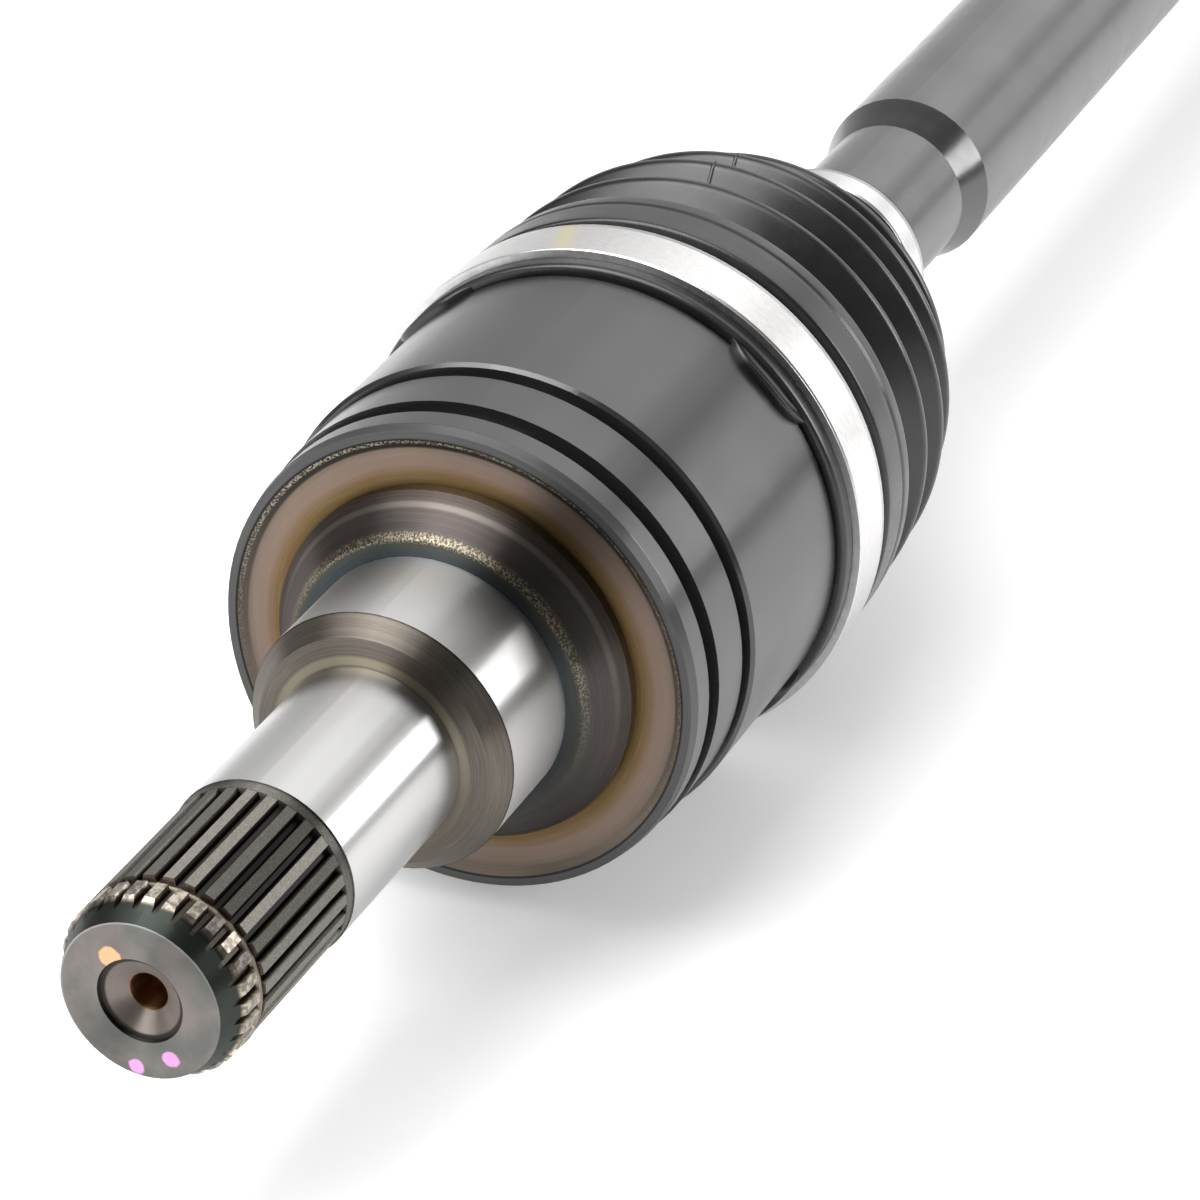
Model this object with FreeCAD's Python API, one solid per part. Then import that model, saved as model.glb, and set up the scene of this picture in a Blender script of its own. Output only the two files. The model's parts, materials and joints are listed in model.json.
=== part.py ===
import FreeCAD, Part
import math
import os
from FreeCAD import Vector

# Front-wheel-drive half shaft: a plunging tripod joint inboard, a bar, and a fixed ball joint outboard.
# The bench frame starts at the inboard spline's end face and runs along +X. Sizes are in millimetres.

# Inboard stub: lengths follow each other from the end face
end_face_r = 13.0
end_chamfer = 3.4
centre_drill_mouth_r = 7.0
centre_drill_recess = 0.8
centre_drill_cone_r = 6.2
centre_drill_cone = 2.0
centre_drill_r = 3.1
centre_drill_depth = 11.0
stub_teeth = 28
stub_tip_r = 15.15
stub_root_r = 13.95
tooth_tip_share = 0.5
tooth_root_share = 0.78
front_teeth_length = 5.0
clip_groove_width = 1.7
clip_groove_r = 12.7
main_teeth_length = 26.1
spline_collar_length = 2.0
spline_collar_r = 15.2
small_journal_length = 36.4
small_journal_r = 15.45
shoulder_face_r = 19.9
shoulder_dish = 1.0
shoulder_chamfer = 3.3
large_journal_length = 19.3
large_journal_r = 22.7

# Hub and front disc of the inboard housing
hub_face_r = 25.6
hub_step_r = 27.6
hub_rim_r = 31.2
hub_step_length = 2.6
hub_cone_length = 2.9
hub_rim_length = 2.9
hub_rim_bevel = 1.0
disc_ring_r = 37.9
disc_rim_height = 1.0
disc_rim_r = 39.5
disc_chamfer = 2.2
disc_land_length = 4.2
front_groove_width = 3.0
front_groove_depth = 2.0
ring_land_length = 9.5
rear_groove_width = 2.3
rear_groove_depth = 2.0
barrel_length = 35.9
boot_seat_length = 25.4
disc_wall = 5.6
disc_step_down = 1.6
ring_step_down = 1.1
barrel_step = 1.8
edge_bevel = 0.6

# Tripod: spider, rollers and the tracks that they run in
roller_pitch_r = 27.0
roller_crown_r = 17.0
roller_width = 11.0
trunnion_r = 9.5
trunnion_end_r = 34.6
needle_r = 1.5
needle_length = 9.0
needles_per_roller = 18
needle_play = 0.03
track_play = 0.65
ceiling_gap = 1.35
track_wall = 3.6
land_bore_r = 23.0
mouth_flare_r = 30.6
mouth_flare_length = 22.0
spider_boss_r = 17.8
spider_width = 24.0
spider_to_mouth = 36.7
retainer_width = 1.1
retainer_height = 1.5
mouth_ring_wire_r = 0.9
mouth_ring_inset = 2.2

# Bar: both ends are splined and carry a race or a spider
bar_teeth = 24
bar_tip_r = 12.4
bar_root_r = 11.5
bar_end_overhang = 3.6
bar_neck_r = 12.5
boot_seat_r = 14.2
boot_seat_cone = 8.0
bar_body_r = 16.6
bar_cone_length = 7.7
snap_ring_width = 1.5
snap_ring_height = 1.3
snap_groove_depth = 1.1
spline_gap = 0.05
inboard_seat_start = 250.0
inboard_cone_start = 300.8
outboard_cone_to_joint = 128.0
outboard_seat_to_joint = 74.0
joint_to_joint = 494.0

# Convoluted boots
boot_wall = 2.2
boot_gap = 0.12
boot_end_gap = 0.3
convolutions = 5
convolution_depth = 5.6
neck_valley_depth = 7.8
crest_width = 1.6
crest_drop = 1.0
collar_wall = 3.3
collar_margin = 2.6
band_cone = 1.4
boot_small_length = 12.0
boot_small_wall = 3.0
inboard_band_length = 11.7
inboard_band_rise = 0.78
inboard_pitch = 10.3
inboard_last_crest_r = 30.0
inboard_neck_length = 11.6
outboard_band_length = 6.0
outboard_band_rise = 0.48
outboard_pitch = 11.0
outboard_last_crest_r = 27.0
outboard_neck_length = 12.0
lug_count = 4
lug_height = 2.4
lug_radius = 13.0
lug_forward = 3.4
lug_to_clamp = 0.5
lug_first_angle = 45.0

# Band clamps
clamp_width_large = 11.0
clamp_width_small = 6.0
clamp_thickness = 1.3
clamp_gap = 0.04
clamp_inset_large = 3.0
clamp_inset_small = 2.8
ear_height = 3.4
ear_width = 9.0
ear_angle = -20.0

# Outboard ball joint
ball_count = 6
ball_share = 0.3
ball_stand = 4.0
groove_play = 0.85
race_width = 23.0
cage_play = 0.06
cage_r = 31.0
cage_wall = 5.94
cage_width = 27.0
window_axial_gap = 0.05
window_side_gap = 0.6
bell_mouth = 12.0
bell_mouth_chamfer = 4.0
bell_wall = 3.05
bell_seat_length = 15.6
bell_step = 2.4
bell_cylinder_end = 26.0
bell_bowl = 24.0
bell_shoulder_x = 42.0
bell_shoulder_r = 25.0
bell_shoulder_bevel = 1.5
bell_neck_r = 33.0
bell_neck_x = 36.0
hub_seat_r = 14.6
hub_seat_length = 8.0
hub_teeth = 26
hub_tip_r = 14.0
hub_root_r = 12.9
hub_spline_length = 40.0
thread_r = 11.9
thread_core_r = 11.1
thread_pitch = 1.5
thread_turns = 14
thread_relief_length = 3.0
stub_end_chamfer = 1.6

# Inboard clip: a round wire ring that hangs loose in its groove
clip_wire_r = 0.75
clip_gap_angle = 24.0

AXIS = Vector(1, 0, 0)
ORIGIN = Vector(0, 0, 0)
OVERCUT = 2.0

# Derived places along the inboard stub and housing
front_teeth_x = end_chamfer
clip_groove_x = front_teeth_x + front_teeth_length
main_teeth_x = clip_groove_x + clip_groove_width
spline_collar_x = main_teeth_x + main_teeth_length
small_journal_x = spline_collar_x + spline_collar_length
shoulder_x = small_journal_x + small_journal_length
large_journal_x = shoulder_x + shoulder_dish + shoulder_chamfer
hub_x = large_journal_x + large_journal_length
hub_cone_x = hub_x + hub_step_length
hub_rim_x = hub_cone_x + hub_cone_length
disc_x = hub_rim_x + hub_rim_length
disc_land_x = disc_x - disc_rim_height + disc_chamfer
front_groove_x = disc_land_x + disc_land_length
ring_land_x = front_groove_x + front_groove_width
rear_groove_x = ring_land_x + ring_land_length
barrel_x = rear_groove_x + rear_groove_width
housing_seat_x = barrel_x + barrel_length
mouth_x = housing_seat_x + boot_seat_length
track_floor_x = disc_x + disc_wall
journal_mid_x = large_journal_x + large_journal_length / 2

# Derived radii of the tripod and the barrel
roller_rim_r = math.sqrt(roller_crown_r ** 2 - (roller_width / 2) ** 2)
track_half_width = roller_crown_r + track_play
track_ceiling_r = math.hypot(roller_pitch_r + roller_width / 2, roller_rim_r) + ceiling_gap
housing_seat_r = track_ceiling_r + track_wall
barrel_r = housing_seat_r + barrel_step
ring_land_r = barrel_r - ring_step_down
disc_r = barrel_r - disc_step_down
roller_bore_r = trunnion_r + 2 * (needle_r + needle_play)
trunnion_angles = [90.0, 210.0, 330.0]

# Derived radii of the ball joint, from its cage outwards, and of the boots' ends
cage_bore_r = cage_r - cage_wall
race_r = cage_bore_r - cage_play
ball_pitch_r = race_r + ball_stand
ball_r = ball_share * ball_pitch_r
bell_seat_r = ball_pitch_r + ball_r + groove_play + bell_wall
bell_r = bell_seat_r + bell_step
inboard_collar_r = housing_seat_r + boot_gap + collar_wall
outboard_collar_r = bell_seat_r + boot_gap + collar_wall
small_collar_r = boot_seat_r + boot_gap + boot_small_wall
inboard_band_r = inboard_collar_r + inboard_band_rise
outboard_band_r = outboard_collar_r + outboard_band_rise

# Derived places of the two joint centres and the bar between them
tripod_x = mouth_x - spider_to_mouth
ball_joint_x = tripod_x + joint_to_joint
spider_left = tripod_x - spider_width / 2
spider_right = tripod_x + spider_width / 2
bar_start = spider_left - snap_ring_width - bar_end_overhang
race_left = ball_joint_x - race_width / 2
race_right = ball_joint_x + race_width / 2
bar_end = race_right + snap_ring_width + bar_end_overhang / 2
outboard_cone_end = ball_joint_x - outboard_cone_to_joint
outboard_seat_end = ball_joint_x - outboard_seat_to_joint
inboard_boot_x = housing_seat_x + boot_end_gap
bell_mouth_x = ball_joint_x - bell_mouth
bell_seat_end = bell_mouth_x + bell_seat_length
outboard_boot_x = bell_seat_end - boot_end_gap


def turned(outline):
    """Solid of revolution about the shaft's axis from (x, radius) points."""
    corners = [Vector(x, 0, r) for x, r in outline]
    face = Part.Face(Part.makePolygon(corners + corners[:1]))
    return face.revolve(ORIGIN, AXIS, 360)


def rod(start, end, radius):
    """Round rod along the axis."""
    return Part.makeCylinder(radius, end - start, Vector(start, 0, 0), AXIS)


def tube(start, end, inner, outer):
    """Round tube along the axis."""
    return rod(start, end, outer).cut(rod(start - OVERCUT, end + OVERCUT, inner))


def spun(shape, angle):
    """Copy of a shape turned about the shaft's axis."""
    copy = shape.copy()
    copy.rotate(ORIGIN, AXIS, angle)
    return copy


def splined(start, end, teeth, root_r, tip_r, gap=0.0):
    """Toothed rod with straight flanks; a gap above 0 makes the cutter of a matching bore."""
    pitch = 2 * math.pi / teeth
    tip_half = tooth_tip_share / 2 * pitch + gap / tip_r
    root_half = tooth_root_share / 2 * pitch + gap / root_r
    corners = []
    for tooth in range(teeth):
        middle = tooth * pitch
        for turn, radius in ((-root_half, root_r), (-tip_half, tip_r), (tip_half, tip_r), (root_half, root_r)):
            angle = middle + turn
            reach = radius + gap
            corners.append(Vector(start, reach * math.cos(angle), reach * math.sin(angle)))
    face = Part.Face(Part.makePolygon(corners + corners[:1]))
    return face.extrude(Vector(end - start, 0, 0))


def centre_drill(face_x, inwards):
    """Conical countersink and pilot hole of a lathe centre; inwards is +1 or -1 along X."""
    return turned([
        (face_x - inwards * OVERCUT, 0),
        (face_x - inwards * OVERCUT, centre_drill_mouth_r),
        (face_x + inwards * centre_drill_recess, centre_drill_mouth_r),
        (face_x + inwards * centre_drill_recess, centre_drill_cone_r),
        (face_x + inwards * (centre_drill_recess + centre_drill_cone), centre_drill_r),
        (face_x + inwards * centre_drill_depth, centre_drill_r),
        (face_x + inwards * (centre_drill_depth + centre_drill_r / 2), 0),
    ])


def stub_spline():
    """Chamfered spline of the inboard stub with its clip groove."""
    tooth_cone = turned([
        (0, 0),
        (0, end_face_r),
        (front_teeth_x, stub_root_r + 0.35),
        (front_teeth_x + stub_tip_r - stub_root_r, stub_tip_r + 0.1),
        (spline_collar_x, stub_tip_r + 0.1),
        (spline_collar_x, 0),
    ])
    teeth = splined(0, spline_collar_x, stub_teeth, stub_root_r, stub_tip_r).common(tooth_cone)
    groove = tube(clip_groove_x, main_teeth_x, clip_groove_r, stub_tip_r + OVERCUT)
    return teeth.cut(groove)


def housing_outside():
    """Turned outside of the stub, journals, hub, disc and barrel."""
    return turned([
        (spline_collar_x, 0),
        (spline_collar_x, spline_collar_r),
        (small_journal_x, spline_collar_r),
        (small_journal_x, small_journal_r),
        (shoulder_x, small_journal_r),
        (shoulder_x + shoulder_dish, shoulder_face_r),
        (large_journal_x, large_journal_r),
        (hub_x, large_journal_r),
        (hub_x, hub_face_r),
        (hub_cone_x, hub_step_r),
        (hub_rim_x, hub_rim_r - hub_rim_bevel),
        (hub_rim_x + hub_rim_bevel, hub_rim_r),
        (disc_x, hub_rim_r),
        (disc_x, disc_ring_r),
        (disc_x - disc_rim_height, disc_rim_r),
        (disc_x - disc_rim_height, disc_r - 0.4),
        (disc_land_x, disc_r),
        (front_groove_x, disc_r),
        (front_groove_x, disc_r - front_groove_depth),
        (ring_land_x, disc_r - front_groove_depth),
        (ring_land_x, ring_land_r),
        (rear_groove_x, ring_land_r),
        (rear_groove_x, ring_land_r - rear_groove_depth),
        (barrel_x, ring_land_r - rear_groove_depth),
        (barrel_x, barrel_r - edge_bevel),
        (barrel_x + edge_bevel, barrel_r),
        (housing_seat_x - edge_bevel, barrel_r),
        (housing_seat_x, barrel_r - edge_bevel),
        (housing_seat_x, housing_seat_r),
        (mouth_x, housing_seat_r),
        (mouth_x, 0),
    ])


def roller_tracks():
    """Cutter of the three parallel-walled tracks and the room between them."""
    depth = mouth_x + OVERCUT - track_floor_x
    channels = Part.makeCylinder(land_bore_r, depth, Vector(track_floor_x, 0, 0), AXIS)
    limit = rod(track_floor_x, mouth_x + OVERCUT, track_ceiling_r)
    for angle in trunnion_angles:
        channel = Part.makeBox(depth, track_ceiling_r + OVERCUT, 2 * track_half_width,
                               Vector(track_floor_x, 0, -track_half_width))
        channels = channels.fuse(spun(channel, angle).common(limit))
    flare = turned([
        (mouth_x - mouth_flare_length, 0),
        (mouth_x - mouth_flare_length, land_bore_r),
        (mouth_x, mouth_flare_r),
        (mouth_x + OVERCUT, mouth_flare_r),
        (mouth_x + OVERCUT, 0),
    ])
    return channels.fuse(flare).removeSplitter()


def inboard_housing():
    """Stub and tulip in one forging."""
    body = housing_outside().fuse(stub_spline())
    body = body.cut(centre_drill(0, 1))
    body = body.cut(roller_tracks())
    ring_x = mouth_x - mouth_ring_inset
    ring_groove = tube(ring_x - mouth_ring_wire_r - 0.05, ring_x + mouth_ring_wire_r + 0.05,
                       track_ceiling_r - 2 * mouth_ring_wire_r, track_ceiling_r + 0.5)
    return body.cut(ring_groove).removeSplitter()


def wire_ring(x, ring_r, wire_r, gap_angle, opening_angle):
    """Open ring of wire whose gap faces the opening angle."""
    sides = 10
    corners = []
    for side in range(sides):
        turn = 2 * math.pi * (side + 0.5) / sides
        corners.append(Vector(x + wire_r * math.cos(turn), ring_r + wire_r * math.sin(turn), 0))
    ring = Part.Face(Part.makePolygon(corners + corners[:1])).revolve(ORIGIN, AXIS, 360 - gap_angle)
    ring.rotate(ORIGIN, AXIS, opening_angle + gap_angle / 2)
    return ring


def stub_clip():
    """Wire clip of the inboard spline, hanging on the bottom of its groove's top."""
    ring_r = clip_groove_r + clip_wire_r + 0.75
    ring = wire_ring(clip_groove_x + clip_groove_width / 2, ring_r, clip_wire_r, clip_gap_angle, 60)
    ring.translate(Vector(0, 0, -0.65))
    return ring


def mouth_ring():
    """Wire ring that keeps the rollers in the housing."""
    ring_r = track_ceiling_r - mouth_ring_wire_r + 0.4
    return wire_ring(mouth_x - mouth_ring_inset, ring_r, mouth_ring_wire_r, 30, 30)


def outward(shape, angle):
    """Copy of a shape modelled along +Y, turned to a trunnion and moved to the tripod."""
    copy = spun(shape, angle)
    copy.translate(Vector(tripod_x, 0, 0))
    return copy


def tripod_spider():
    """Boss with three ground trunnions and a splined bore."""
    half = spider_width / 2
    boss = turned([
        (-half, 0),
        (-half, spider_boss_r - 3),
        (-half + 3, spider_boss_r),
        (half - 3, spider_boss_r),
        (half, spider_boss_r - 3),
        (half, 0),
    ])
    boss.translate(Vector(tripod_x, 0, 0))
    groove_reach = roller_pitch_r + roller_width / 2 + 0.25
    for angle in trunnion_angles:
        trunnion = Part.makeCylinder(trunnion_r, trunnion_end_r, ORIGIN, Vector(0, 1, 0))
        trunnion = trunnion.makeChamfer(0.8, [trunnion.Edges[0]])
        outer = Part.makeCylinder(trunnion_r + 1, retainer_width, Vector(0, groove_reach, 0), Vector(0, 1, 0))
        inner = Part.makeCylinder(trunnion_r - 0.8, retainer_width, Vector(0, groove_reach, 0), Vector(0, 1, 0))
        boss = boss.fuse(outward(trunnion.cut(outer.cut(inner)), angle))
    return boss.cut(splined(spider_left - OVERCUT, spider_right + OVERCUT, bar_teeth,
                            bar_root_r, bar_tip_r, spline_gap))


def roller():
    """Crowned roller about its trunnion, along +Y."""
    low = roller_pitch_r - roller_width / 2
    crown = Part.makeSphere(roller_crown_r, Vector(0, roller_pitch_r, 0))
    slab = Part.makeCylinder(roller_crown_r + 1, roller_width, Vector(0, low, 0), Vector(0, 1, 0))
    bore = Part.makeCylinder(roller_bore_r, roller_width + 2 * OVERCUT,
                             Vector(0, low - OVERCUT, 0), Vector(0, 1, 0))
    return crown.common(slab).cut(bore)


def needle_rollers():
    """All needles as separate solids."""
    needles = []
    track_r = trunnion_r + needle_r + needle_play
    low = roller_pitch_r - needle_length / 2
    for angle in trunnion_angles:
        for index in range(needles_per_roller):
            turn = 2 * math.pi * index / needles_per_roller
            foot = Vector(track_r * math.cos(turn), low, track_r * math.sin(turn))
            needles.append(outward(Part.makeCylinder(needle_r, needle_length, foot, Vector(0, 1, 0)), angle))
    return Part.makeCompound(needles)


def roller_retainers():
    """Flat ring at the end of each trunnion."""
    rings = []
    reach = roller_pitch_r + roller_width / 2 + 0.3
    for angle in trunnion_angles:
        outer = Part.makeCylinder(trunnion_r + retainer_height, retainer_width - 0.1,
                                  Vector(0, reach, 0), Vector(0, 1, 0))
        inner = Part.makeCylinder(trunnion_r - 0.75, retainer_width, Vector(0, reach, 0), Vector(0, 1, 0))
        rings.append(outward(outer.cut(inner), angle))
    return Part.makeCompound(rings)


def snap_groove(x):
    """Cutter of a snap-ring groove in the bar's splined end."""
    return tube(x, x + snap_ring_width + 0.1, bar_tip_r - snap_groove_depth, bar_tip_r + OVERCUT)


def snap_ring(x, opening_angle):
    """Open flat ring that sits in a groove of the bar."""
    inner = bar_tip_r - snap_groove_depth + 0.05
    ring = tube(x + 0.05, x + 0.05 + snap_ring_width, inner, bar_tip_r + snap_ring_height)
    slot = Part.makeBox(snap_ring_width + OVERCUT, bar_tip_r + OVERCUT + snap_ring_height, 5.0,
                        Vector(x - 0.5, 0, -2.5))
    return ring.cut(spun(slot, opening_angle))


def shaft_bar():
    """Bar with a spline at each end, boot seats and a thicker middle."""
    seat_start = inboard_seat_start
    body = turned([
        (spider_right + snap_ring_width + 0.1, 0),
        (spider_right + snap_ring_width + 0.1, bar_neck_r),
        (seat_start - boot_seat_cone, bar_neck_r),
        (seat_start, boot_seat_r),
        (inboard_cone_start, boot_seat_r),
        (inboard_cone_start + bar_cone_length, bar_body_r),
        (outboard_cone_end - bar_cone_length, bar_body_r),
        (outboard_cone_end, boot_seat_r),
        (outboard_seat_end, boot_seat_r),
        (outboard_seat_end + boot_seat_cone, bar_neck_r),
        (race_left, bar_neck_r),
        (race_left, 0),
    ])
    body = body.fuse(splined(bar_start, spider_right + snap_ring_width + 0.1, bar_teeth, bar_root_r, bar_tip_r))
    body = body.fuse(splined(race_left, bar_end, bar_teeth, bar_root_r, bar_tip_r))
    for x in (spider_left - snap_ring_width - 0.1, spider_right, race_right):
        body = body.cut(snap_groove(x))
    return body


def boot(start, way, seat_r, collar_r, collar_length, band_r, band_length, pitch, last_crest, neck_length):
    """Bellows from its large collar and the place of its neck; way is +1 or -1 along X from there."""
    first_crest = band_r - crest_drop
    outer = [(0, collar_r), (collar_length, collar_r), (collar_length + band_cone, band_r),
             (collar_length + band_length, band_r)]
    inner = [(0, seat_r + boot_gap), (collar_length + band_cone, seat_r + boot_gap),
             (collar_length + band_length, band_r - boot_wall)]
    valley_x = collar_length + band_length + pitch / 2
    for index in range(convolutions):
        share = index / (convolutions - 1)
        crest = first_crest - (first_crest - last_crest) * share ** 2
        crest_x = valley_x + pitch / 2
        outer.append((valley_x, crest - convolution_depth))
        outer.append((crest_x - crest_width / 2, crest))
        outer.append((crest_x + crest_width / 2, crest))
        inner.append((valley_x, crest - convolution_depth - boot_wall))
        inner.append((crest_x, crest - boot_wall))
        valley_x += pitch
    neck_x = valley_x + neck_length
    end_x = neck_x + boot_small_length
    outer.append((valley_x, last_crest - neck_valley_depth))
    inner.append((valley_x, last_crest - neck_valley_depth - boot_wall))
    outer.append((neck_x, small_collar_r))
    inner.append((neck_x, boot_seat_r + boot_gap))
    outer.append((end_x, small_collar_r))
    inner.append((end_x, boot_seat_r + boot_gap))
    outline = outer + inner[::-1]
    return turned([(start + way * x, r) for x, r in outline]), start + way * neck_x


def lugs():
    """Rounded tongues of the inboard boot that lap over the barrel."""
    base = barrel_r + boot_gap
    top = barrel_r + lug_height
    tip_x = housing_seat_x - lug_forward
    tongue = Part.makeCylinder(lug_radius, top + OVERCUT, Vector(tip_x + lug_radius, 0, 0), Vector(0, 1, 0))
    shell = tube(tip_x - OVERCUT, housing_seat_x + clamp_inset_large - lug_to_clamp, base, top)
    return [spun(tongue.common(shell), lug_first_angle + 360 / lug_count * index) for index in range(lug_count)]


def inboard_boot():
    """Bellows of the tripod joint with its lugs, and the place of its neck."""
    collar_length = clamp_inset_large + clamp_width_large + collar_margin
    shape, neck_x = boot(inboard_boot_x, 1, housing_seat_r, inboard_collar_r, collar_length, inboard_band_r,
                         inboard_band_length, inboard_pitch, inboard_last_crest_r, inboard_neck_length)
    for lug in lugs():
        shape = shape.fuse(lug)
    return shape.removeSplitter(), neck_x


def outboard_boot():
    """Bellows of the ball joint and the place of its neck."""
    return boot(outboard_boot_x, -1, bell_seat_r, outboard_collar_r, outboard_boot_x - bell_mouth_x,
                outboard_band_r, outboard_band_length, outboard_pitch, outboard_last_crest_r,
                outboard_neck_length)


def band_clamp(start, width, inner_r, angle):
    """Crimped band with one raised ear."""
    inner = inner_r + clamp_gap
    outer = inner + clamp_thickness
    band = tube(start, start + width, inner, outer)
    half = ear_width / 2
    top = outer + ear_height
    corners = [(inner - 1, -half), (top - 1.2, -half), (top, -half + 1.6), (top, half - 1.6),
               (top - 1.2, half), (inner - 1, half)]
    ear = Part.Face(Part.makePolygon([Vector(start + 0.4, y, z) for y, z in corners + corners[:1]]))
    ear = ear.extrude(Vector(width - 0.8, 0, 0))
    hollow = Part.makeBox(width + OVERCUT, top - clamp_thickness - inner + 1, ear_width - 2 * clamp_thickness,
                          Vector(start - 1, inner - 1, -half + clamp_thickness))
    lobe = ear.cut(hollow).cut(rod(start - 1, start + width + 1, inner))
    gap = hollow.common(tube(start - 1, start + width + 1, inner - 1, outer + 0.01))
    return spun(band.cut(gap).fuse(lobe), angle)


def inner_race():
    """Ball race with six meridian grooves and a splined bore."""
    half = race_width / 2
    sphere = Part.makeSphere(race_r, Vector(ball_joint_x, 0, 0))
    body = sphere.common(rod(ball_joint_x - half, ball_joint_x + half, race_r + 1))
    for groove in ball_grooves():
        body = body.cut(groove)
    bore = splined(race_left - OVERCUT, race_right + OVERCUT, bar_teeth, bar_root_r, bar_tip_r, spline_gap)
    return body.cut(bore)


def ball_grooves():
    """Ring-shaped cutters, each of which makes two opposite grooves."""
    rings = []
    for index in range(ball_count // 2):
        ring = Part.makeTorus(ball_pitch_r, ball_r + groove_play, ORIGIN, Vector(0, 0, 1))
        ring = spun(ring, 360 / ball_count * index)
        ring.translate(Vector(ball_joint_x, 0, 0))
        rings.append(ring)
    return rings


def ball_cage():
    """Spherical cage with a window for each ball."""
    half = cage_width / 2
    centre = Vector(ball_joint_x, 0, 0)
    shell = Part.makeSphere(cage_r, centre).cut(Part.makeSphere(cage_bore_r, centre))
    shell = shell.common(rod(ball_joint_x - half, ball_joint_x + half, cage_r + 1))
    along = ball_r + window_axial_gap
    across = ball_r + window_side_gap
    window = Part.makeBox(2 * along, cage_r + OVERCUT, 2 * across, Vector(-along, 0, -across))
    for index in range(ball_count):
        opening = spun(window, 360 / ball_count * index)
        opening.translate(centre)
        shell = shell.cut(opening)
    return shell


def joint_balls():
    """Balls as separate solids."""
    balls = []
    for index in range(ball_count):
        turn = 2 * math.pi * index / ball_count
        centre = Vector(ball_joint_x, ball_pitch_r * math.cos(turn), ball_pitch_r * math.sin(turn))
        balls.append(Part.makeSphere(ball_r, centre))
    return Part.makeCompound(balls)


def outboard_bell():
    """Bell, shoulder, hub spline and threaded end in one forging."""
    x = ball_joint_x
    shoulder = x + bell_shoulder_x
    spline_start = shoulder + hub_seat_length
    spline_end = spline_start + hub_spline_length
    thread_start = spline_end + thread_relief_length
    outline = [
        (bell_mouth_x, 0),
        (bell_mouth_x, bell_seat_r),
        (bell_seat_end, bell_seat_r),
        (bell_seat_end, bell_r - edge_bevel),
        (bell_seat_end + edge_bevel, bell_r),
        (x + bell_cylinder_end, bell_r),
        (x + bell_neck_x, bell_neck_r),
        (shoulder - bell_shoulder_bevel, bell_shoulder_r + bell_shoulder_bevel),
        (shoulder, bell_shoulder_r),
        (shoulder, hub_seat_r),
        (spline_start, hub_seat_r),
        (spline_start, 0),
    ]
    tail = [(spline_end, 0), (spline_end, thread_core_r), (thread_start, thread_core_r)]
    for turn in range(thread_turns):
        crest_x = thread_start + (turn + 0.5) * thread_pitch
        tail.append((crest_x, thread_r))
        tail.append((crest_x + thread_pitch / 2, thread_core_r))
    thread_end = thread_start + thread_turns * thread_pitch
    tail += [(thread_end + stub_end_chamfer, thread_core_r - stub_end_chamfer / 2),
             (thread_end + stub_end_chamfer, 0)]
    body = turned(outline)
    body = body.fuse(splined(spline_start, spline_end, hub_teeth, hub_root_r, hub_tip_r))
    body = body.fuse(turned(tail))
    body = body.cut(centre_drill(thread_end + stub_end_chamfer, -1))
    room = Part.makeSphere(cage_r + cage_play, Vector(x, 0, 0))
    room = room.common(rod(x - cage_r - 1, x + bell_bowl, cage_r + 1))
    groove_limit = rod(x - 2 * cage_r, x + ball_pitch_r - ball_r - groove_play, barrel_r * 2)
    body = body.cut(room)
    for groove in ball_grooves():
        body = body.cut(groove.common(groove_limit))
    mouth_r = math.sqrt((cage_r + cage_play) ** 2 - bell_mouth ** 2)
    flare = turned([
        (bell_mouth_x - OVERCUT, 0),
        (bell_mouth_x - OVERCUT, mouth_r + bell_mouth_chamfer + OVERCUT),
        (bell_mouth_x + bell_mouth_chamfer, mouth_r),
        (bell_mouth_x + bell_mouth_chamfer, 0),
    ])
    return body.cut(flare)


def all_nodes():
    """Every piece of the shaft by name, in the bench frame."""
    inboard_bellows, inboard_neck_x = inboard_boot()
    outboard_bellows, outboard_neck_x = outboard_boot()
    nodes = {
        "inboard_housing": inboard_housing(),
        "stub_clip": stub_clip(),
        "mouth_ring": mouth_ring(),
        "tripod_spider": tripod_spider(),
        "needle_rollers": needle_rollers(),
        "roller_retainers": roller_retainers(),
        "spider_end_ring": snap_ring(spider_left - snap_ring_width - 0.1, 40),
        "spider_stop_ring": snap_ring(spider_right, 160),
        "race_ring": snap_ring(race_right, 100),
        "shaft_bar": shaft_bar(),
        "inboard_boot": inboard_bellows,
        "outboard_boot": outboard_bellows,
        "inner_race": inner_race(),
        "ball_cage": ball_cage(),
        "joint_balls": joint_balls(),
        "outboard_bell": outboard_bell(),
    }
    for number, angle in enumerate(trunnion_angles, 1):
        nodes[f"roller_{number}"] = outward(roller(), angle)
    nodes["inboard_large_clamp"] = band_clamp(inboard_boot_x + clamp_inset_large, clamp_width_large,
                                              inboard_collar_r, ear_angle)
    nodes["inboard_small_clamp"] = band_clamp(inboard_neck_x + clamp_inset_small, clamp_width_small,
                                              small_collar_r, ear_angle)
    nodes["outboard_large_clamp"] = band_clamp(bell_mouth_x + clamp_inset_large, clamp_width_large,
                                               outboard_collar_r, ear_angle)
    nodes["outboard_small_clamp"] = band_clamp(outboard_neck_x - clamp_inset_small - clamp_width_small,
                                               clamp_width_small, small_collar_r, ear_angle)
    return nodes


os.makedirs("parts", exist_ok=True)
for name, shape in all_nodes().items():
    shape.translate(Vector(-journal_mid_x, 0, 0))
    shape.exportStep(f"parts/{name}.step")
    state = "ok" if shape.isValid() else "INVALID"
    print(name, state, len(shape.Solids), round(shape.Volume))
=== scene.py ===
import bpy
import json
import math
from mathutils import Matrix, Vector


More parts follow.
